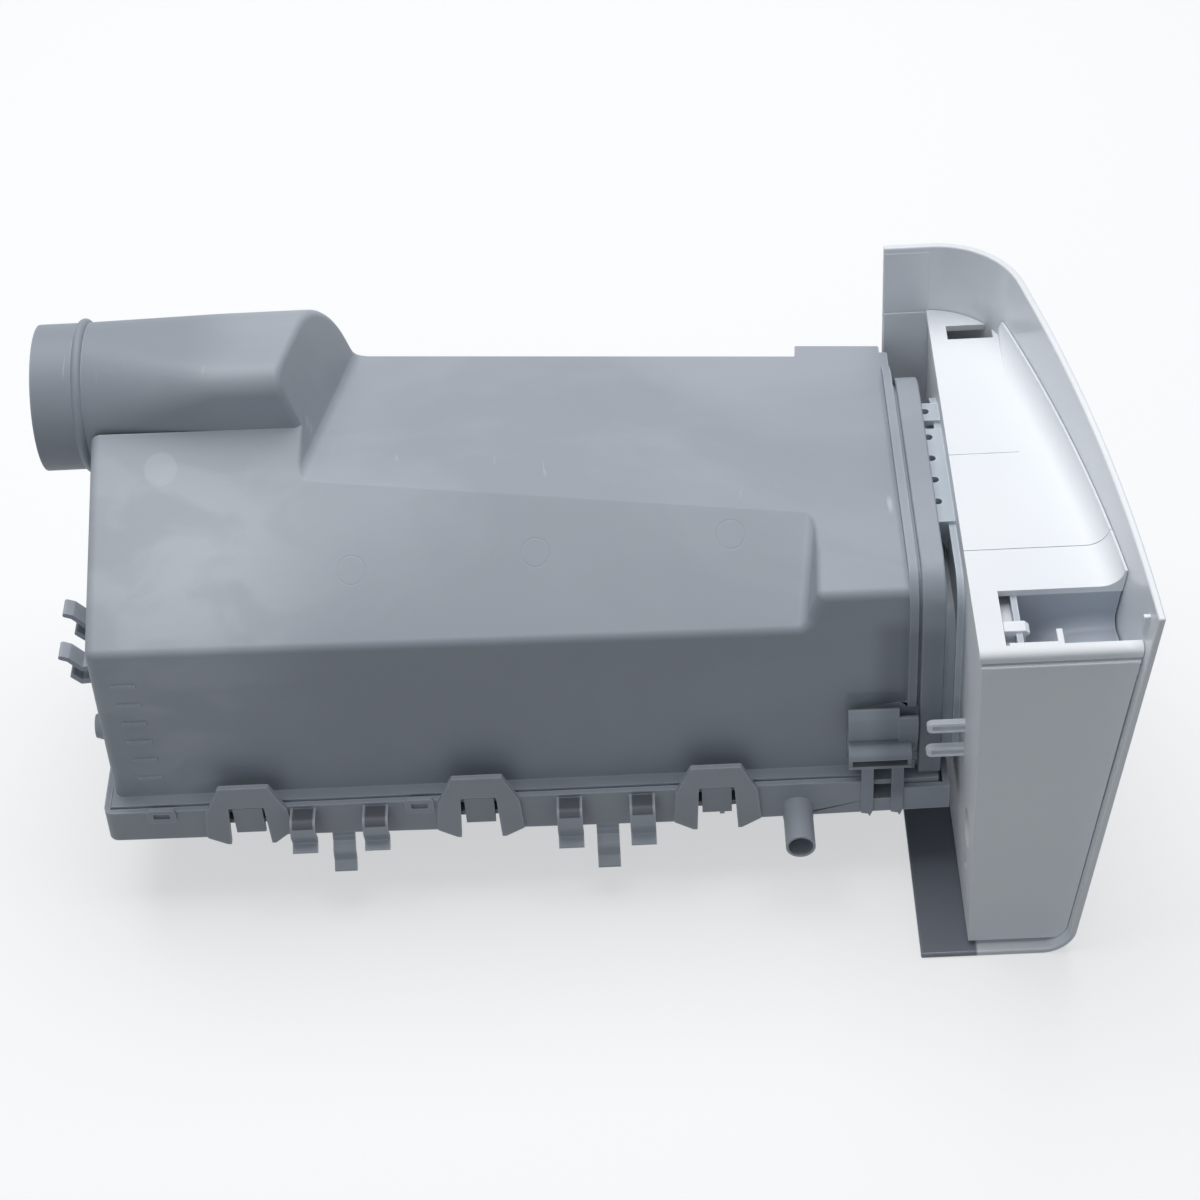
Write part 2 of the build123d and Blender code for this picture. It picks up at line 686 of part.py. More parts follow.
def scoop_profile(grow):
    """The scoop seen from the side: deep at its rear, rising towards the skin."""
    top = plate_top - skin_wall
    x0 = grip_x0 + bowl_set_in - grow
    ramp_end = grip_x0 + bowl_set_in + ramp_length
    low = top - grip_depth - grow
    ramp_top = top - grip_rise - grow
    return make_face(Curve() + [
        Line((x0, top + 6), (x0, low)),
        Spline((x0, low), (ramp_end, ramp_top), tangents=[(0.8, 0.6), (1, 0)]),
        Line((ramp_end, ramp_top), (500, ramp_top)),
        Line((500, ramp_top), (500, top + 6)),
        Line((500, top + 6), (x0, top + 6))])


def grip_bowl():
    """The grey finger scoop under the opening, with one short rib."""
    top = plate_top - skin_wall
    hollow = extrude(along(grip_y1) * scoop_profile(0.0), grip_y1 - grip_y0)
    far_low = [e for e in hollow.edges().group_by(Axis.Y)[-1]
               if e.center().Z < top - 5 and e.center().X > grip_x0 + bowl_set_in + 1]
    hollow = fillet(far_low, 5.0)
    shell = extrude(along(grip_y1 + wall) * scoop_profile(wall), grip_y1 - grip_y0 + 2 * wall)
    shell &= block(300, 500, grip_y0 + bowl_near_gap, 50, 0, top)
    x_rib = grip_x0 + bowl_set_in + 12.0
    rib = block(x_rib, x_rib + 1.6, grip_y0 + bowl_near_gap, grip_y0 + 6.0, top - 20.0, top - 5.0)
    return (shell - hollow + rib) & skin_room(seat_gap + 0.4)


def main():
    os.makedirs("parts", exist_ok=True)
    nodes = {
        "hopper_tub": hopper_tub(),
        "water_cover": water_cover(),
        "spray_plate": spray_plate(),
        "drawer_tray": drawer_tray(),
        "softener_cap": siphon_cap(tray_cross + 8, tray_divider + 6),
        "handle_body": handle_body(),
        "top_cover": top_cover(),
        "grip_frame": grip_frame(),
        "grip_bowl": grip_bowl(),
        "front_skin": front_skin(),
    }
    for name, shape in nodes.items():
        placed = to_row_frame * shape
        placed.label = name
        export_step(placed, f"parts/{name}.step")
        print(name, round(placed.volume), placed.bounding_box().min, placed.bounding_box().max)


main()
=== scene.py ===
# %% [markdown]
# A washing machine's detergent dispenser: a grey hopper tub, its water cover,
# and a drawer with a white front, lying with the tub's floor upwards. The solid
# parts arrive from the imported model, already in place and in metres. What is
# left for this script is what moulding and use leave on them, some thin details,
# and the light and camera of the picture.

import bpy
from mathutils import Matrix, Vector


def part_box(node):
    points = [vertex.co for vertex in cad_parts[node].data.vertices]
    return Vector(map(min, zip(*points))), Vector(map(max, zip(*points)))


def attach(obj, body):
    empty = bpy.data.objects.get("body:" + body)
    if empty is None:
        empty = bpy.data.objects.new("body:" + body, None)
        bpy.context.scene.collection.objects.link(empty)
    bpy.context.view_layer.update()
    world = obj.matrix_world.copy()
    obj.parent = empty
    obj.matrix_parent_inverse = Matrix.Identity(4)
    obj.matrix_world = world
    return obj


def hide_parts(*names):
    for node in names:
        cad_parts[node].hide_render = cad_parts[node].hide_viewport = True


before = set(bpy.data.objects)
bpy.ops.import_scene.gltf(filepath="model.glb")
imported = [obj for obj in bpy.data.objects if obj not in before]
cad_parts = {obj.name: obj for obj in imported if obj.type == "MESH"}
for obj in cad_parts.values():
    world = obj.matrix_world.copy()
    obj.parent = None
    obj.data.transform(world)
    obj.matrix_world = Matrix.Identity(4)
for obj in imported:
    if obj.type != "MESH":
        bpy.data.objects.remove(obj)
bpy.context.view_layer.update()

import math

import bmesh
import bpy
import numpy as np
from mathutils import Matrix, Vector

print("nodes:", sorted(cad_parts))

# %% [markdown]
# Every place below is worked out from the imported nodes. The tub's rear wall,
# its near wall and the joint between tub and cover are the three datum planes
# that a moulder would measure from, so they are read once here.

# %% Datum planes and units
MM = 0.001
SPIGOT_REACH, SKIN_OVERHANG, SKIN_DROP = 21.5, 54, 50
tub_low = Vector(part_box("hopper_tub")[0])
skin_low = Vector(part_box("front_skin")[0])
REAR_X = tub_low.x + SPIGOT_REACH * MM
NEAR_Y = skin_low.y + SKIN_OVERHANG * MM
JOINT_Z = skin_low.z + SKIN_DROP * MM


def place(x, y, z):
    """A point in metres from its distances in millimetres off the datum planes."""
    return Vector((REAR_X + x * MM, NEAR_Y + y * MM, JOINT_Z + z * MM))


ORIGIN = np.array(place(0, 0, 0))
print("datum corner:", tuple(round(v, 4) for v in ORIGIN))

# %% [markdown]
# Moulded plastic is never one flat colour. Three effects make most of its
# look, and several materials share them, so each is a node group with named
# inputs: the fine spark-eroded grain of the mould, slow clouds where the melt
# flowed and cooled, and edges rubbed pale by handling.


# %% A helper that starts a node group
def start_group(name, inputs, outputs):
    """An empty shader group with the named sockets, and its two end nodes."""
    group = bpy.data.node_groups.new(name, "ShaderNodeTree")
    for label, kind, value in inputs:
        socket = group.interface.new_socket(name=label, in_out="INPUT", socket_type=kind)
        if value is not None:
            socket.default_value = value
    for label, kind in outputs:
        group.interface.new_socket(name=label, in_out="OUTPUT", socket_type=kind)
    entry = group.nodes.new("NodeGroupInput")
    leave = group.nodes.new("NodeGroupOutput")
    return group, entry.outputs, leave.inputs


def wire(tree, source, target):
    """One link between two sockets."""
    tree.links.new(source, target)


def math_node(tree, operation, first, second, clamp=False):
    """A Math node fed by sockets or plain numbers; returns its output."""
    node = tree.nodes.new("ShaderNodeMath")
    node.operation = operation
    node.use_clamp = clamp
    for index, value in enumerate((first, second)):
        if isinstance(value, (int, float)):
            node.inputs[index].default_value = value
        else:
            wire(tree, value, node.inputs[index])
    return node.outputs[0]


# %% Grain: the fine texture that the mould leaves
def grain_group():
    """Height = fine noise times its depth, plus slow waves of the cooling wall."""
    group, given, out = start_group(
        "mould_grain",
        [("Position", "NodeSocketVector", None), ("Fine Scale", "NodeSocketFloat", 2600.0),
         ("Fine Depth", "NodeSocketFloat", 0.5), ("Wave Depth", "NodeSocketFloat", 0.5)],
        [("Height", "NodeSocketFloat"), ("Speck", "NodeSocketFloat")])
    fine = group.nodes.new("ShaderNodeTexNoise")
    fine.inputs["Detail"].default_value = 3.0
    wire(group, given["Position"], fine.inputs["Vector"])
    wire(group, given["Fine Scale"], fine.inputs["Scale"])
    wave = group.nodes.new("ShaderNodeTexNoise")
    wave.inputs["Scale"].default_value = 24.0
    wave.inputs["Detail"].default_value = 1.0
    wire(group, given["Position"], wave.inputs["Vector"])
    fine_part = math_node(group, "MULTIPLY", fine.outputs["Fac"], given["Fine Depth"])
    wave_part = math_node(group, "MULTIPLY", wave.outputs["Fac"], given["Wave Depth"])
    wire(group, math_node(group, "ADD", fine_part, wave_part), out["Height"])
    wire(group, fine.outputs["Fac"], out["Speck"])
    return group


GRAIN = grain_group()
print("group:", GRAIN.name)


# %% Clouds: slow pale and dark patches
def cloud_group():
    """Mask = two octaves of slow noise, stretched along the flow, from 0 to 1."""
    group, given, out = start_group(
        "flow_clouds",
        [("Position", "NodeSocketVector", None), ("Scale", "NodeSocketFloat", 14.0),
         ("Low", "NodeSocketFloat", 0.35), ("High", "NodeSocketFloat", 0.7)],
        [("Mask", "NodeSocketFloat")])
    stretch = group.nodes.new("ShaderNodeMapping")
    stretch.inputs["Scale"].default_value = (0.6, 1.0, 1.0)
    wire(group, given["Position"], stretch.inputs["Vector"])
    noise = group.nodes.new("ShaderNodeTexNoise")
    noise.inputs["Detail"].default_value = 4.0
    noise.inputs["Distortion"].default_value = 0.6
    wire(group, stretch.outputs["Vector"], noise.inputs["Vector"])
    wire(group, given["Scale"], noise.inputs["Scale"])
    ramp = group.nodes.new("ShaderNodeMapRange")
    ramp.interpolation_type = "SMOOTHSTEP"
    wire(group, noise.outputs["Fac"], ramp.inputs["Value"])
    wire(group, given["Low"], ramp.inputs["From Min"])
    wire(group, given["High"], ramp.inputs["From Max"])
    wire(group, ramp.outputs["Result"], out["Mask"])
    return group


CLOUDS = cloud_group()
print("group:", CLOUDS.name)


# %% Rub: edges worn paler
def rub_group():
    """Mask = how far a bevelled normal leans from the true one, broken up by noise."""
    group, given, out = start_group(
        "rubbed_edges",
        [("Position", "NodeSocketVector", None), ("Radius", "NodeSocketFloat", 0.0012),
         ("Strength", "NodeSocketFloat", 1.0)],
        [("Mask", "NodeSocketFloat")])
    bevel = group.nodes.new("ShaderNodeBevel")
    bevel.samples = 4
    wire(group, given["Radius"], bevel.inputs["Radius"])
    surface = group.nodes.new("ShaderNodeNewGeometry")
    dot = group.nodes.new("ShaderNodeVectorMath")
    dot.operation = "DOT_PRODUCT"
    wire(group, bevel.outputs["Normal"], dot.inputs[0])
    wire(group, surface.outputs["Normal"], dot.inputs[1])
    lean = math_node(group, "SUBTRACT", 1.0, dot.outputs["Value"])
    chips = group.nodes.new("ShaderNodeTexNoise")
    chips.inputs["Scale"].default_value = 260.0
    chips.inputs["Detail"].default_value = 3.0
    wire(group, given["Position"], chips.inputs["Vector"])
    broken = math_node(group, "MULTIPLY", lean, chips.outputs["Fac"])
    scaled = math_node(group, "MULTIPLY", broken, 8.0)
    wire(group, math_node(group, "MULTIPLY", scaled, given["Strength"], clamp=True), out["Mask"])
    return group


RUB = rub_group()
print("group:", RUB.name)

# %% [markdown]
# One function builds every plastic, because they differ only in numbers: a
# base colour, a pale tone for the clouds, how glossy the mould was, and how
# deep its grain is. Constant values go straight onto the shader's sockets.


# %% The plastic material
def mix_colour(tree, mask, first, second):
    """A colour mix by a mask; colours are plain values or sockets."""
    node = tree.nodes.new("ShaderNodeMix")
    node.data_type = "RGBA"
    wire(tree, mask, node.inputs["Factor"])
    for socket, value in ((node.inputs[6], first), (node.inputs[7], second)):
        if isinstance(value, tuple):
            socket.default_value = (*value, 1.0)
        else:
            wire(tree, value, socket)
    return node.outputs[2]


def place_group(tree, group, position, **values):
    """A copy of a shared group in this material, with its own values."""
    node = tree.nodes.new("ShaderNodeGroup")
    node.node_tree = group
    wire(tree, position, node.inputs["Position"])
    for label, value in values.items():
        node.inputs[label.replace("_", " ")].default_value = value
    return node.outputs


def plastic(name, base, pale, rough=0.45, grain=0.5, bump_mm=0.03, cloud_scale=14.0,
            rub=0.6, specular=0.5, coat=0.0, marks=None):
    """Moulded plastic: clouds tint the colour, speck varies the gloss, grain lifts the surface."""
    material = bpy.data.materials.new(name)
    material.use_nodes = True
    tree = material.node_tree
    shader = tree.nodes["Principled BSDF"]
    position = tree.nodes.new("ShaderNodeTexCoord").outputs["Object"]
    grains = place_group(tree, GRAIN, position, Fine_Depth=grain, Wave_Depth=1.0 - grain)
    clouds = place_group(tree, CLOUDS, position, Scale=cloud_scale)
    rubs = place_group(tree, RUB, position, Strength=rub)
    colour = mix_colour(tree, clouds["Mask"], base, pale)
    height = grains["Height"]
    if marks:
        colour, height = marks(tree, position, colour, height)
    lit = tuple(min(1.0, channel * 1.35 + 0.02) for channel in pale)
    colour = mix_colour(tree, rubs["Mask"], colour, lit)
    wire(tree, colour, shader.inputs["Base Color"])
    sheen = tree.nodes.new("ShaderNodeMapRange")
    sheen.inputs["To Min"].default_value = rough - 0.06
    sheen.inputs["To Max"].default_value = rough + 0.08
    wire(tree, grains["Speck"], sheen.inputs["Value"])
    wire(tree, sheen.outputs["Result"], shader.inputs["Roughness"])
    shader.inputs["Specular IOR Level"].default_value = specular
    shader.inputs["Coat Weight"].default_value = coat
    bump = tree.nodes.new("ShaderNodeBump")
    bump.inputs["Distance"].default_value = bump_mm * MM
    wire(tree, height, bump.inputs["Height"])
    wire(tree, bump.outputs["Normal"], shader.inputs["Normal"])
    return material


# %% [markdown]
# Marks are masks: numbers from 0 to 1 over a surface. They could be painted on
# an image, but a mask that is worked out from places on the part needs no image
# and stays sharp at any size. Two helpers make them all: the distance to a
# point in plan, and the inside of a box with soft sides.


# %% Masks from places
def distance_to(tree, position, centre):
    """Distance from a point in plan: the root of the squared x and y offsets."""
    flat = tree.nodes.new("ShaderNodeVectorMath")
    flat.operation = "MULTIPLY"
    wire(tree, position, flat.inputs[0])
    flat.inputs[1].default_value = (1.0, 1.0, 0.0)
    gap = tree.nodes.new("ShaderNodeVectorMath")
    gap.operation = "DISTANCE"
    wire(tree, flat.outputs[0], gap.inputs[0])
    gap.inputs[1].default_value = (centre.x, centre.y, 0.0)
    return gap.outputs["Value"]


def soft_step(tree, value, start, end):
    """0 at start, 1 at end, smooth between; start may be the larger one."""
    node = tree.nodes.new("ShaderNodeMapRange")
    node.interpolation_type = "SMOOTHSTEP"
    wire(tree, value, node.inputs["Value"])
    node.inputs["From Min"].default_value = start
    node.inputs["From Max"].default_value = end
    return node.outputs["Result"]


def within(tree, position, soft=1.0, **limits):
    """1 inside a box of datum millimetres, 0 outside: the product of soft steps at its sides."""
    split = tree.nodes.new("ShaderNodeSeparateXYZ")
    wire(tree, position, split.inputs[0])
    mask = None
    for axis, (low, high) in limits.items():
        value, start = split.outputs[axis.upper()], ORIGIN["xyz".index(axis)]
        rise = soft_step(tree, value, start + (low - soft) * MM, start + (low + soft) * MM)
        fall = soft_step(tree, value, start + (high + soft) * MM, start + (high - soft) * MM)
        both = math_node(tree, "MULTIPLY", rise, fall)
        mask = both if mask is None else math_node(tree, "MULTIPLY", mask, both)
    return mask


def tinted(tree, mask, strength, colour, tint):
    """The colour moves towards the tint by the mask times a strength."""
    return mix_colour(tree, math_node(tree, "MULTIPLY", mask, strength), colour, tint)


print("a box mask starts at", tuple(round(v, 4) for v in ORIGIN))

# %% [markdown]
# The crease in the tub's floor is the first line to rub on a bench, so a few
# short pale strokes lie across it. A noise that is drawn out one way makes
# strokes, and keeping it near the crease puts them where wear would.

# %% Scuffs along the crease
CREASE_START, CREASE_END = place(98, 79.5, 0), place(262, 52, 0)
SCUFF_PALE = (0.68, 0.70, 0.73)


def crease_scuffs(tree, position, colour):
    """Strokes: a noise drawn out across the crease, times a band along its line."""
    run = CREASE_END - CREASE_START
    split = tree.nodes.new("ShaderNodeSeparateXYZ")
    wire(tree, position, split.inputs[0])
    along = math_node(tree, "SUBTRACT", split.outputs["X"], CREASE_START.x)
    line = math_node(tree, "MULTIPLY", along, run.y / run.x)
    across = math_node(tree, "SUBTRACT", split.outputs["Y"], CREASE_START.y)
    off_line = math_node(tree, "SUBTRACT", across, line)
    near = soft_step(tree, math_node(tree, "ABSOLUTE", off_line, 0.0), 7 * MM, 1 * MM)
    turn = tree.nodes.new("ShaderNodeMapping")
    turn.inputs["Rotation"].default_value = (0.0, 0.0, math.radians(-35))
    turn.inputs["Scale"].default_value = (260.0, 30.0, 30.0)
    wire(tree, position, turn.inputs["Vector"])
    strokes = tree.nodes.new("ShaderNodeTexNoise")
    strokes.inputs["Scale"].default_value = 1.0
    strokes.inputs["Detail"].default_value = 2.0
    wire(tree, turn.outputs["Vector"], strokes.inputs["Vector"])
    strong = soft_step(tree, strokes.outputs["Fac"], 0.66, 0.74)
    mask = math_node(tree, "MULTIPLY", near, strong)
    return tinted(tree, mask, 0.4, colour, SCUFF_PALE)


print("crease is", round((CREASE_END - CREASE_START).length / MM), "mm long")

# %% [markdown]
# A moulded tub shows its tool: three faint rings where ejector pins pushed, and a pale
# disc at the rear. Near the disc lies painted light: a pale pool at the rear, broken
# by pale blotches. The duct and the block beside the collar carry painted shade and
# are tinted a little darker. The rings go into the height, so they catch the light
# as real ones do. All the others only tint the colour.

# %% Marks on the tub
EJECTORS = [place(98, 27, 0), place(166, 31, 0), place(238, 35, 0)]
EJECTOR_RADIUS = 5.2 * MM
RING_HALF_WIDTH = 0.45 * MM
RING_DEPTH = 1.2
# The second point is the middle of a painted pool of light at the rear, which pale blotches break
# up.
GATE_DISC, PAINTED_LIGHT_CENTRE = place(27, 66, 0), place(30, 35, 0)
DISC_PALE, PAINTED_LIGHT_AND_BLOTCH_PALE = (0.66, 0.70, 0.75), (0.58, 0.61, 0.65)
# Painted shade: the darker tones of the duct and of the block beside the collar.
DUCT_PAINTED_SHADE, BLOCK_PAINTED_SHADE = (0.245, 0.27, 0.31), (0.205, 0.225, 0.26)
DUCT_REGION = dict(x=(-60, 48), y=(84, 170), z=(100, 170))
BLOCK_REGION = dict(x=(290, 315), y=(-20, 20), z=(-8, 72))


def tub_marks(tree, position, colour, height):
    """Rings lower the height; the disc, painted light with pale blotches, painted shade on duct
    and block, and scuffs tint the colour in turn.
    """
    for centre in EJECTORS:
        gap = distance_to(tree, position, centre)
        off_ring = math_node(tree, "SUBTRACT", gap, EJECTOR_RADIUS)
        off_ring = math_node(tree, "ABSOLUTE", off_ring, 0.0)
        ring = math_node(tree, "SUBTRACT", 1.0, soft_step(tree, off_ring, 0.0, RING_HALF_WIDTH))
        height = math_node(tree, "SUBTRACT", height, math_node(tree, "MULTIPLY", ring, RING_DEPTH))
    disc = soft_step(tree, distance_to(tree, position, GATE_DISC), 6.8 * MM, 5.6 * MM)
    colour = tinted(tree, disc, 0.22, colour, DISC_PALE)
    # Painted light: a pale pool at the rear, broken by pale blotches.
    light_pool = soft_step(tree, distance_to(tree, position, PAINTED_LIGHT_CENTRE), 75 * MM, 8 * MM)
    patch = place_group(tree, CLOUDS, position, Scale=46.0, Low=0.42, High=0.62)["Mask"]
    pale = math_node(tree, "MULTIPLY", math_node(tree, "MULTIPLY", light_pool, patch), 0.3)
    pale = math_node(tree, "ADD", pale, math_node(tree, "MULTIPLY", light_pool, 0.2), clamp=True)
    colour = mix_colour(tree, pale, colour, PAINTED_LIGHT_AND_BLOTCH_PALE)
    # Painted shade: the duct is tinted darker.
    duct = within(tree, position, soft=16.0, **DUCT_REGION)
    colour = tinted(tree, duct, 0.9, colour, DUCT_PAINTED_SHADE)
    # Painted shade: the block beside the collar is tinted darker.
    block = within(tree, position, soft=5.0, **BLOCK_REGION)
    colour = tinted(tree, block, 0.9, colour, BLOCK_PAINTED_SHADE)
    return crease_scuffs(tree, position, colour), height


print("ejector rings:", len(EJECTORS), "of radius", round(EJECTOR_RADIUS / MM, 1), "mm")

# %% [markdown]
# The four outer straps of the cover spring from slots, and the slots are painted shade:
# dark tints where a recess would be shaded. The flange that turns in under the tub
# is tinted darker than the front panel. Soft boxes tint both, which is lighter than
# cutting holes that nobody can look into.

# %% Marks on the cover and the skin
STRAP_MIDDLES = (72.25, 99.75, 173.25, 200.75)
SLOT_HALF_WIDTH = 3.9
# The slot tone is painted shade, dark where a recess would be shaded.
SLOT_PAINTED_SHADE, FLANGE_GREY = (0.05, 0.055, 0.065), (0.21, 0.225, 0.26)


def cover_marks(tree, position, colour, height):
    """Painted shade: a dark tint at the root of each outer strap, where the slot's recess would be
    shaded.
    """
    for middle in STRAP_MIDDLES:
        sides = (middle - SLOT_HALF_WIDTH, middle + SLOT_HALF_WIDTH)
        # Painted shade: a dark tint where the slot's recess would be shaded.
        root = within(tree, position, soft=0.3, x=sides, y=(-20, -5), z=(-4.4, -1.3))
        colour = tinted(tree, root, 0.85, colour, SLOT_PAINTED_SHADE)
    return colour, height


def skin_marks(tree, position, colour, height):
    """The flange is tinted a darker grey than the front panel."""
    flange = within(tree, position, soft=0.6, x=(290, 324), y=(-70, 160), z=(-60, -44))
    return mix_colour(tree, flange, colour, FLANGE_GREY), height


print("strap slots:", len(STRAP_MIDDLES))

# %% [markdown]
# Seven finishes cover the part: the tub's matt grey, the cover's slightly
# smoother grey, pale tray plastic, the blue cap, satin white trim, the glossy
# front, and the bowl's grey. They differ in numbers, so each is one call.

# %% The seven finishes
TUB_GREY = plastic("tub_grey", (0.30, 0.323, 0.365), (0.365, 0.392, 0.438), rough=0.5, grain=0.6,
                   bump_mm=0.05, cloud_scale=11.0, rub=0.35, marks=tub_marks)
COVER_GREY = plastic("cover_grey", (0.33, 0.35, 0.39), (0.38, 0.405, 0.45), rough=0.46, grain=0.5,
                     marks=cover_marks)
TRAY_PALE = plastic("tray_pale", (0.60, 0.66, 0.72), (0.68, 0.74, 0.80), rough=0.4, grain=0.4)
CAP_BLUE = plastic("cap_blue", (0.16, 0.27, 0.42), (0.20, 0.33, 0.48), rough=0.4, grain=0.4)
TRIM_WHITE = plastic("trim_white", (0.85, 0.87, 0.905), (0.88, 0.895, 0.925), rough=0.5, grain=0.5,
                     bump_mm=0.02, rub=0.1, specular=0.3)
SKIN_WHITE = plastic("skin_white", (0.77, 0.79, 0.83), (0.80, 0.82, 0.855), rough=0.2, grain=0.25,
                     bump_mm=0.012, rub=0.1, coat=0.15, marks=skin_marks)
BOWL_GREY = plastic("bowl_grey", (0.44, 0.48, 0.54), (0.48, 0.52, 0.59), rough=0.38, grain=0.4)
print("materials:", [m.name for m in bpy.data.materials])

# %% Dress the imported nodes
FINISHES = {
    "hopper_tub": TUB_GREY,
    "water_cover": COVER_GREY,
    "spray_plate": COVER_GREY,
    "drawer_tray": TRAY_PALE,
    "softener_cap": CAP_BLUE,
    "handle_body": TRIM_WHITE,
    "top_cover": TRIM_WHITE,
    "grip_frame": TRIM_WHITE,
    "grip_bowl": BOWL_GREY,
    "front_skin": SKIN_WHITE,
}
for name, material in FINISHES.items():
    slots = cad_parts[name].data.materials
    slots.clear()
    slots.append(material)
print("dressed:", len(FINISHES), "nodes")

# %% [markdown]
# Some mouldings differ a little from their plain solids: a skirt that tapers,
# straps that end higher, guide fingers that are thin. They could be modelled
# again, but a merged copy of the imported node, with its points shifted by a rule,
# keeps every opening and wall where the solid has it and stands in for the node.


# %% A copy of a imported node, reshaped by a rule
def reshaped(name, node, body, material, rule=None):
    """A merged copy of a node; the rule takes and returns points in datum millimetres."""
    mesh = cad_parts[node].data.copy()
    mesh.name = name
    shell = bmesh.new()
    shell.from_mesh(mesh)
    bmesh.ops.remove_doubles(shell, verts=shell.verts, dist=1e-6)
    shell.to_mesh(mesh)
    shell.free()
    if "custom_normal" in mesh.attributes:
        mesh.attributes.remove(mesh.attributes["custom_normal"])
    if rule:
        flat = np.empty(len(mesh.vertices) * 3)
        mesh.vertices.foreach_get("co", flat)
        points = (flat.reshape(-1, 3) - ORIGIN) / MM
        mesh.vertices.foreach_set("co", (rule(points) * MM + ORIGIN).ravel())
    mesh.shade_smooth()
    mesh.set_sharp_from_angle(angle=math.radians(30))
    mesh.materials.clear()
    mesh.materials.append(material)
    piece = bpy.data.objects.new(name, mesh)
    bpy.context.scene.collection.objects.link(piece)
    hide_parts(node)
    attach(piece, body)
    print(name, "stands for", node, "with", len(mesh.polygons), "faces")
    return piece


# %% [markdown]
# The cover's skirt isn't equally deep all along, its straps end at two heights,
# and its hose nipple has a thin wall. Depth below the joint is multiplied by a
# share that depends on the place, which bends nothing and keeps walls upright.

# %% The cover: skirt, straps and nipple
SKIRT_STATIONS = [0, 86, 150, 187, 230, 300]
SKIRT_SHARES = [0.75, 0.79, 0.86, 0.90, 0.90, 0.82]
STRAP_SHARES = {72.25: 0.64, 99.75: 0.64, 173.25: 0.78, 200.75: 0.78, 86.0: 0.88, 187.0: 1.0}
STRAP_HALF_WIDTH = 5.6
NIPPLE_X, NIPPLE_Z, NIPPLE_HALF_WIDTH = 259.5, -13.5, 7.5
NIPPLE_ROOT_Y, NIPPLE_ROOT_FLOOR = -8.5, -16.0
BORE_REACH, BORE_GROWTH = 4.3, 1.17


def skirt_rule(points):
    """z times the share on the skirt; the bore grows; the nipple's root stays above the edge."""
    x, y, z = points.T
    share = np.interp(x, SKIRT_STATIONS, SKIRT_SHARES)
    for middle, strap_share in STRAP_SHARES.items():
        strap = (abs(x - middle) < STRAP_HALF_WIDTH) & (y < -8.1)
        share = np.where(strap, strap_share, share)
    nipple = (abs(x - NIPPLE_X) < NIPPLE_HALF_WIDTH) & (y < -5.0)
    edge = ((y < 1.0) | (y > 143.0) | (x < 1.0)) & (z < -0.6) & ~nipple
    bore = nipple & (np.hypot(x - NIPPLE_X, z - NIPPLE_Z) < BORE_REACH)
    wide = np.where(bore, BORE_GROWTH, 1.0)
    z = np.where(edge, z * share, (z - NIPPLE_Z) * wide + NIPPLE_Z)
    z = np.where(nipple & (y > NIPPLE_ROOT_Y), np.maximum(z, NIPPLE_ROOT_FLOOR), z)
    return np.stack([(x - NIPPLE_X) * wide + NIPPLE_X, y, z], axis=1)


reshaped("cover_moulding", "water_cover", "housing", COVER_GREY, skirt_rule)

# %% [markdown]
# A thin bent bracket will stand on the tub's near wall. The solid's thick one
# is pressed back into the wall first, by moving only the points that stand out
# in the bracket's window.

# %% The tub: a flat seat for the bracket
WINDOW_X, WINDOW_Z = (278, 305.6), (4, 39)
SEAT_X = 300.75


def bracket_rule(points):
    """Points in the window that stand out of the wall, or of the seat, go back into it."""
    x, y, z = points.T
    window = (x > WINDOW_X[0]) & (x < WINDOW_X[1]) & (z > WINDOW_Z[0]) & (z < WINDOW_Z[1])
    on_wall = window & (x <= SEAT_X) & (y < -0.01)
    on_seat = window & (x > SEAT_X) & (y < -2.85)
    y = np.where(on_wall, 0.25, y)
    return np.stack([x, np.where(on_seat, -2.6, y), z], axis=1)


reshaped("tub_moulding", "hopper_tub", "housing", TUB_GREY, bracket_rule)

# %% [markdown]
# The handle's two guide fingers are thinner than the solid's, and sit higher.
# The near wall's top also comes up to meet the round bar of the grip.

# %% The handle: two thin guide fingers
FINGER_LEVELS = {20.5: 29.6, 10.0: 17.2}
FINGER_HEIGHT_SHARE, FINGER_DEPTH_SHARE = 0.88, 0.45
FINGER_FACE = -14.0
WALL_TOP, WALL_TOP_RAISED = 94.8, 97.3


def finger_rule(points):
    """Each finger's own level becomes its new one, and its height and depth shrink."""
    x, y, z = points.T
    finger = (x < 321.05) & (y > -14.6) & (y < -7.6) & (z > 8) & (z < 27)
    upper = z > 18
    moved = z
    for solid_level, level in FINGER_LEVELS.items():
        this = finger & (upper == (solid_level > 18))
        moved = np.where(this, level + (z - solid_level) * FINGER_HEIGHT_SHARE, moved)
    y = np.where(finger, FINGER_FACE + (y - FINGER_FACE) * FINGER_DEPTH_SHARE, y)
    wall_top = (abs(moved - WALL_TOP) < 0.15) & (y < -47.3)
    return np.stack([x, y, np.where(wall_top, WALL_TOP_RAISED, moved)], axis=1)


reshaped("handle_moulding", "handle_body", "drawer", TRIM_WHITE, finger_rule)

# %% [markdown]
# The finger opening's near edge is a thick round bar. A new tube could lie
# there, but then a seam would show against the plate. Bevels on the bar's two
# long near edges give the same form in one piece. The copy's flat faces are
# joined first, so that the bevels meet clean faces.

# %% The round bar of the grip
BAR_TOP, BAR_UNDER, BAR_FACE_Y = 102.5, 98.0, -50.0
BAR_ROUNDS = {BAR_TOP: 3.3, BAR_UNDER: 1.15}


def joined_faces(piece):
    """The piece's mesh as a bmesh in which neighbours in one plane are one face."""
    shell = bmesh.new()
    shell.from_mesh(piece.data)
    bmesh.ops.dissolve_limit(shell, angle_limit=math.radians(0.5),
                             verts=shell.verts, edges=shell.edges)
    return shell


def bar_rule(points):
    """The bar's underside comes up, so that the bar is about as high as it is deep."""
    x, y, z = points.T
    underside = (abs(z - 95.0) < 0.3) & (y < -45.0)
    return np.stack([x, y, np.where(underside, BAR_UNDER, z)], axis=1)


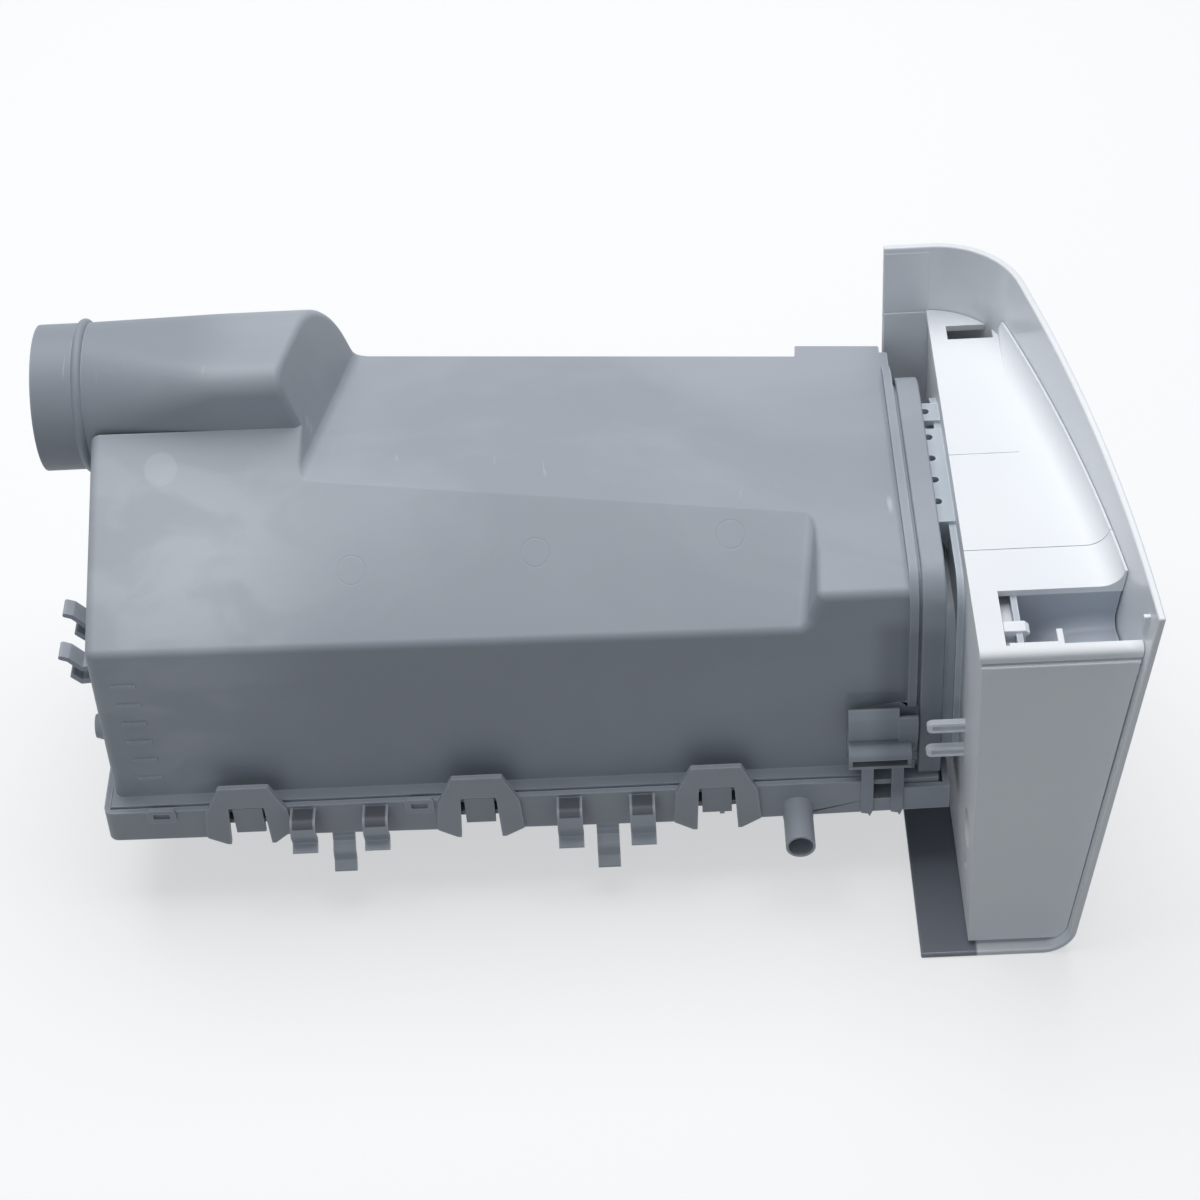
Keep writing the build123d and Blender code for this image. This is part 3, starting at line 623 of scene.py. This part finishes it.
def rounded_bar(piece):
    """Bevels the edges that lie on the bar's near lines, each with its own radius."""
    shell = joined_faces(piece)
    line_y = ORIGIN[1] + BAR_FACE_Y * MM
    for height, radius in BAR_ROUNDS.items():
        line_z = ORIGIN[2] + height * MM
        picked = [edge for edge in shell.edges
                  if all(abs(v.co.y - line_y) < 2e-5 and abs(v.co.z - line_z) < 2e-5
                         for v in edge.verts)]
        bmesh.ops.bevel(shell, geom=picked, offset=radius * MM, segments=8, profile=0.5,
                        affect="EDGES")
        print("rounded", len(picked), "edge at height", height)
    shell.to_mesh(piece.data)
    shell.free()
    piece.data.shade_smooth()
    piece.data.set_sharp_from_angle(angle=math.radians(30))


rounded_bar(reshaped("grip_moulding", "grip_frame", "drawer", TRIM_WHITE, bar_rule))

# %% [markdown]
# The front skin's rims are soft to the hand and catch a fine line of light. A
# Bevel modifier that acts only on sharp edges rounds them all at one width.

# %% The front skin with soft rims
RIM_WIDTH = 0.8
RIM_ANGLE = math.radians(60)

skin = reshaped("skin_moulding", "front_skin", "drawer", SKIN_WHITE)
shell = joined_faces(skin)
shell.to_mesh(skin.data)
shell.free()
rims = skin.modifiers.new("soft_rims", "BEVEL")
rims.width = RIM_WIDTH * MM
rims.segments = 3
rims.limit_method = "ANGLE"
rims.angle_limit = RIM_ANGLE
skin.data.shade_smooth()
skin.data.set_sharp_from_angle(angle=math.radians(40))
print("skin faces before the rims:", len(skin.data.polygons))

# %% [markdown]
# Small moulded details are outlines carried straight along one axis, which is
# how a tool maker cuts them. A strap's outline is worked out from its middle
# line, moved half a thickness to each side.


# %% Outlines carried along an axis
def ribbon(path, thickness, steps=28):
    """The middle line is sampled evenly, averaged three times, and moved to both sides."""
    path = np.asarray(path, dtype=float)
    run = np.concatenate([[0.0], np.cumsum(np.hypot(*np.diff(path, axis=0).T))])
    at = np.linspace(0.0, run[-1], steps)
    line = np.stack([np.interp(at, run, path[:, 0]), np.interp(at, run, path[:, 1])], axis=1)
    for _ in range(3):
        line[1:-1] = (line[:-2] + 2 * line[1:-1] + line[2:]) / 4
    heading = np.gradient(line, axis=0)
    normal = np.stack([-heading[:, 1], heading[:, 0]], axis=1)
    normal /= np.linalg.norm(normal, axis=1, keepdims=True)
    half = normal * thickness / 2
    return np.concatenate([line + half, (line - half)[::-1]])


def panel(u0, u1, v0, v1):
    """A rectangle's four corners."""
    return np.array([(u0, v0), (u1, v0), (u1, v1), (u0, v1)])


def drawn_out(name, outline, axis, start, end, body, slot, material, soft=0.25):
    """Two copies of the outline, joined by side faces and closed by two caps."""
    ring = np.asarray(outline, dtype=float)
    count = len(ring)
    points = np.zeros((2, count, 3))
    points[0, :, axis] = start
    points[1, :, axis] = end
    points[:, :, [k for k in range(3) if k != axis]] = ring
    here = np.arange(count)
    after = (here + 1) % count
    sides = np.stack([here, after, after + count, here + count], axis=1).tolist()
    caps = [here[::-1].tolist(), (here + count).tolist()]
    mesh = bpy.data.meshes.new(name)
    mesh.from_pydata((points.reshape(-1, 3) * MM + ORIGIN).tolist(), [], sides + caps)
    shell = bmesh.new()
    shell.from_mesh(mesh)
    bmesh.ops.recalc_face_normals(shell, faces=shell.faces)
    shell.to_mesh(mesh)
    shell.free()
    mesh.shade_smooth()
    mesh.set_sharp_from_angle(angle=math.radians(35))
    mesh.materials.append(material)
    piece = bpy.data.objects.new(name, mesh)
    bpy.context.scene.collection.objects.link(piece)
    bevel = piece.modifiers.new("soft_edges", "BEVEL")
    bevel.width = soft * MM
    bevel.segments = 2
    bevel.limit_method = "ANGLE"
    bevel.angle_limit = math.radians(40)
    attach(piece, body)
    return piece


GREY = dict(body="housing", slot="grey_tub", material=TUB_GREY)
WHITE = dict(body="drawer", slot="white_trim", material=TRIM_WHITE)
SHELL_WHITE = dict(body="drawer", slot="white_skin", material=SKIN_WHITE)
print("kinds of detail:", GREY["slot"], WHITE["slot"], SHELL_WHITE["slot"])

# %% [markdown]
# The bracket on the near wall holds the machine's front sheet. It is an upper
# plate that curves out of the wall, a narrower stepped plate beside it, a lip
# over a shallow shelf, and two thin legs that hang down over the cover.

# %% The panel bracket
BRACKET_START, BRACKET_STEP, BRACKET_END = 278.6, 297.6, 304.6
LIP_END = BRACKET_END - 2.4
PLATE_THICKNESS, LIP_THICKNESS = 1.8, 1.9
UPPER_PLATE = [(-5.0, 34.6), (-6.8, 31.0), (-7.6, 26.5), (-7.0, 22.0), (-5.4, 19.4), (0.6, 18.0)]
STEPPED_PLATE = [(-6.4, 31.4), (-7.4, 28.0), (-7.4, 24.0), (-6.6, 21.0), (-5.2, 16.0),
                 (-4.8, 13.0)]
LIP = [(0.6, 17.4), (-4.6, 18.6), (-7.4, 17.4), (-10.2, 15.6), (-10.6, 13.4)]
LEG = [(0, 9.0), (4.7, 9.0), (4.7, -15.0), (3.4, -18.6), (2.6, -17.0), (0, -16.4)]
LEG_STARTS = (283.5, 294.8)

upper, stepped = ribbon(UPPER_PLATE, PLATE_THICKNESS), ribbon(STEPPED_PLATE, PLATE_THICKNESS)
drawn_out("bracket_upper", upper, 0, BRACKET_START, BRACKET_STEP, **GREY)
drawn_out("bracket_stepped", stepped, 0, BRACKET_STEP - 0.4, BRACKET_END, **GREY)
drawn_out("bracket_lip", ribbon(LIP, LIP_THICKNESS), 0, BRACKET_START, LIP_END, **GREY)
drawn_out("bracket_shelf", panel(-10.6, 0.6, 8.4, 9.8), 0, BRACKET_START, LIP_END, **GREY)
for index, left in enumerate((BRACKET_START, BRACKET_END - 4.0)):
    cheek = panel(-10.2, 0.6, 8.8, 17.0)
    drawn_out(f"bracket_cheek_{index + 1}", cheek, 0, left, left + 1.6, **GREY)
for index, left in enumerate(LEG_STARTS):
    drawn_out(f"bracket_leg_{index + 1}", np.array(LEG) + (left, 0), 1, -9.3, -7.6, **GREY)
print("bracket from", BRACKET_START, "to", BRACKET_END, "mm along the wall")

# %% [markdown]
# Inside the finger opening a snap clip holds the plate: a tongue with a bent
# nose on a foot, a stop, and a shelf behind. A rib stiffens the bowl, and a fine
# line runs under the bar. The skin has a tab, and two shallow steps inside.

# %% The grip's clip, and the skin's steps and tab
CLIP_TONGUE = [(329.8, 100.9), (337.4, 100.9), (339.0, 99.4), (338.2, 98.3), (329.8, 98.3)]
drawn_out("grip_clip_tongue", CLIP_TONGUE, 1, -36.6, -31.4, **WHITE)
drawn_out("grip_clip_foot", panel(330.0, 337.8, 84.0, 97.8), 1, -35.4, -33.6, **WHITE)
drawn_out("grip_clip_stop", panel(331.0, 348.4, 95.6, 100.5), 1, -43.6, -42.0, **WHITE)
drawn_out("grip_shelf", panel(329.8, 335.2, -44.8, -8.0), 2, 94.2, 95.6, **WHITE)
drawn_out("grip_rib", panel(-45.4, -35.0, 84.0, 99.8), 0, 348.0, 350.2, **WHITE)
drawn_out("grip_line", panel(-50.8, -49.6, 95.9, 97.0), 0, 320.6, 375.5, **WHITE)
drawn_out("skin_tab", panel(375.8, 378.6, 105.5, 114.0), 1, -46.6, -44.8, **SHELL_WHITE)
drawn_out("skin_step_low", panel(303.4, 320.6, -30.0, 101.6), 1, 146.9, 147.6, **SHELL_WHITE)
drawn_out("skin_step_high", panel(303.4, 320.6, 102.2, 130.0), 1, 147.2, 147.6, **SHELL_WHITE)

# %% [markdown]
# The picture was taken from a little over forty degrees up with a longish
# lens. The camera is set from those angles and from where the eye stands, which
# is easier to adjust than a raw matrix.

# %% Camera
ELEVATION = math.radians(42.4)
YAW = math.radians(1.8)
ROLL = math.radians(-3.8)
EYE = place(214.4, -791.6, 814.0)
LENS = 89.6

forward = Vector((0, math.cos(ELEVATION), -math.sin(ELEVATION)))
right = Vector((1, 0, 0))
down = forward.cross(right)
turn = Matrix.Rotation(YAW, 3, "Z")
forward, right, down = turn @ forward, turn @ right, turn @ down
rolled_right = right * math.cos(ROLL) - down * math.sin(ROLL)
rolled_down = right * math.sin(ROLL) + down * math.cos(ROLL)
pose = Matrix((rolled_right, -rolled_down, -forward)).transposed().to_4x4()
pose.translation = EYE
camera_data = bpy.data.cameras.new("camera")
camera_data.lens = LENS
camera_data.sensor_width = 36.0
camera_data.clip_end = 20.0
camera = bpy.data.objects.new("camera", camera_data)
camera.matrix_world = pose
bpy.context.scene.collection.objects.link(camera)
bpy.context.scene.camera = camera
print("camera at", tuple(round(v, 3) for v in EYE))

# %% [markdown]
# A product picture has one big soft light overhead and little else: the level
# faces are bright, the walls fall to a third of that. A large area lamp gives
# the overhead light, and a weak cool one in front fills the near walls.


# %% Lamps
def area_lamp(name, where, target, size, power):
    """A square soft lamp that faces its target."""
    data = bpy.data.lights.new(name, "AREA")
    data.size = size
    data.energy = power
    lamp = bpy.data.objects.new(name, data)
    lamp.location = where
    lamp.rotation_euler = (Vector(target) - Vector(where)).to_track_quat("-Z", "Y").to_euler()
    bpy.context.scene.collection.objects.link(lamp)
    return lamp


area_lamp("overhead", (-0.06, 0.42, 1.6), (0, 0, 0.1), 1.6, 24.5)
fill = area_lamp("front_fill", (-0.5, -1.6, 0.9), (0, 0, 0.08), 1.2, 2.95)
fill.data.color = (0.86, 0.95, 1.0)

# %% [markdown]
# The world is dim where it lights the part and white where the camera or a
# reflection looks at it, so the background is pale without washing the part out.

# %% World
SKY_FILL, SKY_SEEN = 0.21, 1.0

world = bpy.data.worlds.new("studio")
world.use_nodes = True
sky = world.node_tree
background = sky.nodes["Background"]
rays = sky.nodes.new("ShaderNodeLightPath")
seen = math_node(sky, "MAXIMUM", rays.outputs["Is Camera Ray"], rays.outputs["Is Glossy Ray"])
level = sky.nodes.new("ShaderNodeMapRange")
wire(sky, seen, level.inputs["Value"])
level.inputs["To Min"].default_value = SKY_FILL
level.inputs["To Max"].default_value = SKY_SEEN
wire(sky, level.outputs["Result"], background.inputs["Strength"])
background.inputs["Color"].default_value = (0.87, 0.94, 1.0, 1.0)
bpy.context.scene.world = world
print("world strength:", SKY_FILL, "as light,", SKY_SEEN, "as seen")

# %% [markdown]
# The floor is plain paper. What the camera sees of it is half paper and half
# its own pale glow, so that the shadow stays but doesn't go dark, as on the
# bright table of a product picture. Light that bounces meets plain grey paper.

# %% Floor
FLOOR_REACH = 6.0
PAPER_BOUNCE, PAPER_SEEN = (0.3, 0.3, 0.305), (0.42, 0.422, 0.425)
NO_GLOW, PAPER_GLOW = (0.0, 0.0, 0.0), (0.56, 0.565, 0.57)

floor_mesh = bpy.data.meshes.new("floor")
corners = panel(-FLOOR_REACH, FLOOR_REACH, -FLOOR_REACH, FLOOR_REACH)
floor_mesh.from_pydata(np.pad(corners, ((0, 0), (0, 1))).tolist(), [], [(0, 1, 2, 3)])
floor = bpy.data.objects.new("floor", floor_mesh)
bpy.context.scene.collection.objects.link(floor)
paper = bpy.data.materials.new("floor_paper")
paper.use_nodes = True
sheet = paper.node_tree
paper_shader = sheet.nodes["Principled BSDF"]
paper_rays = sheet.nodes.new("ShaderNodeLightPath").outputs
looked_at = math_node(sheet, "MAXIMUM", paper_rays["Is Camera Ray"], paper_rays["Is Glossy Ray"])
tone = mix_colour(sheet, looked_at, PAPER_BOUNCE, PAPER_SEEN)
glow = mix_colour(sheet, looked_at, NO_GLOW, PAPER_GLOW)
wire(sheet, tone, paper_shader.inputs["Base Color"])
wire(sheet, glow, paper_shader.inputs["Emission Color"])
paper_shader.inputs["Emission Strength"].default_value = 1.0
paper_shader.inputs["Roughness"].default_value = 0.9
floor.data.materials.append(paper)
bpy.context.scene.view_settings.view_transform = "Standard"
print("floor reaches", FLOOR_REACH, "m each way")
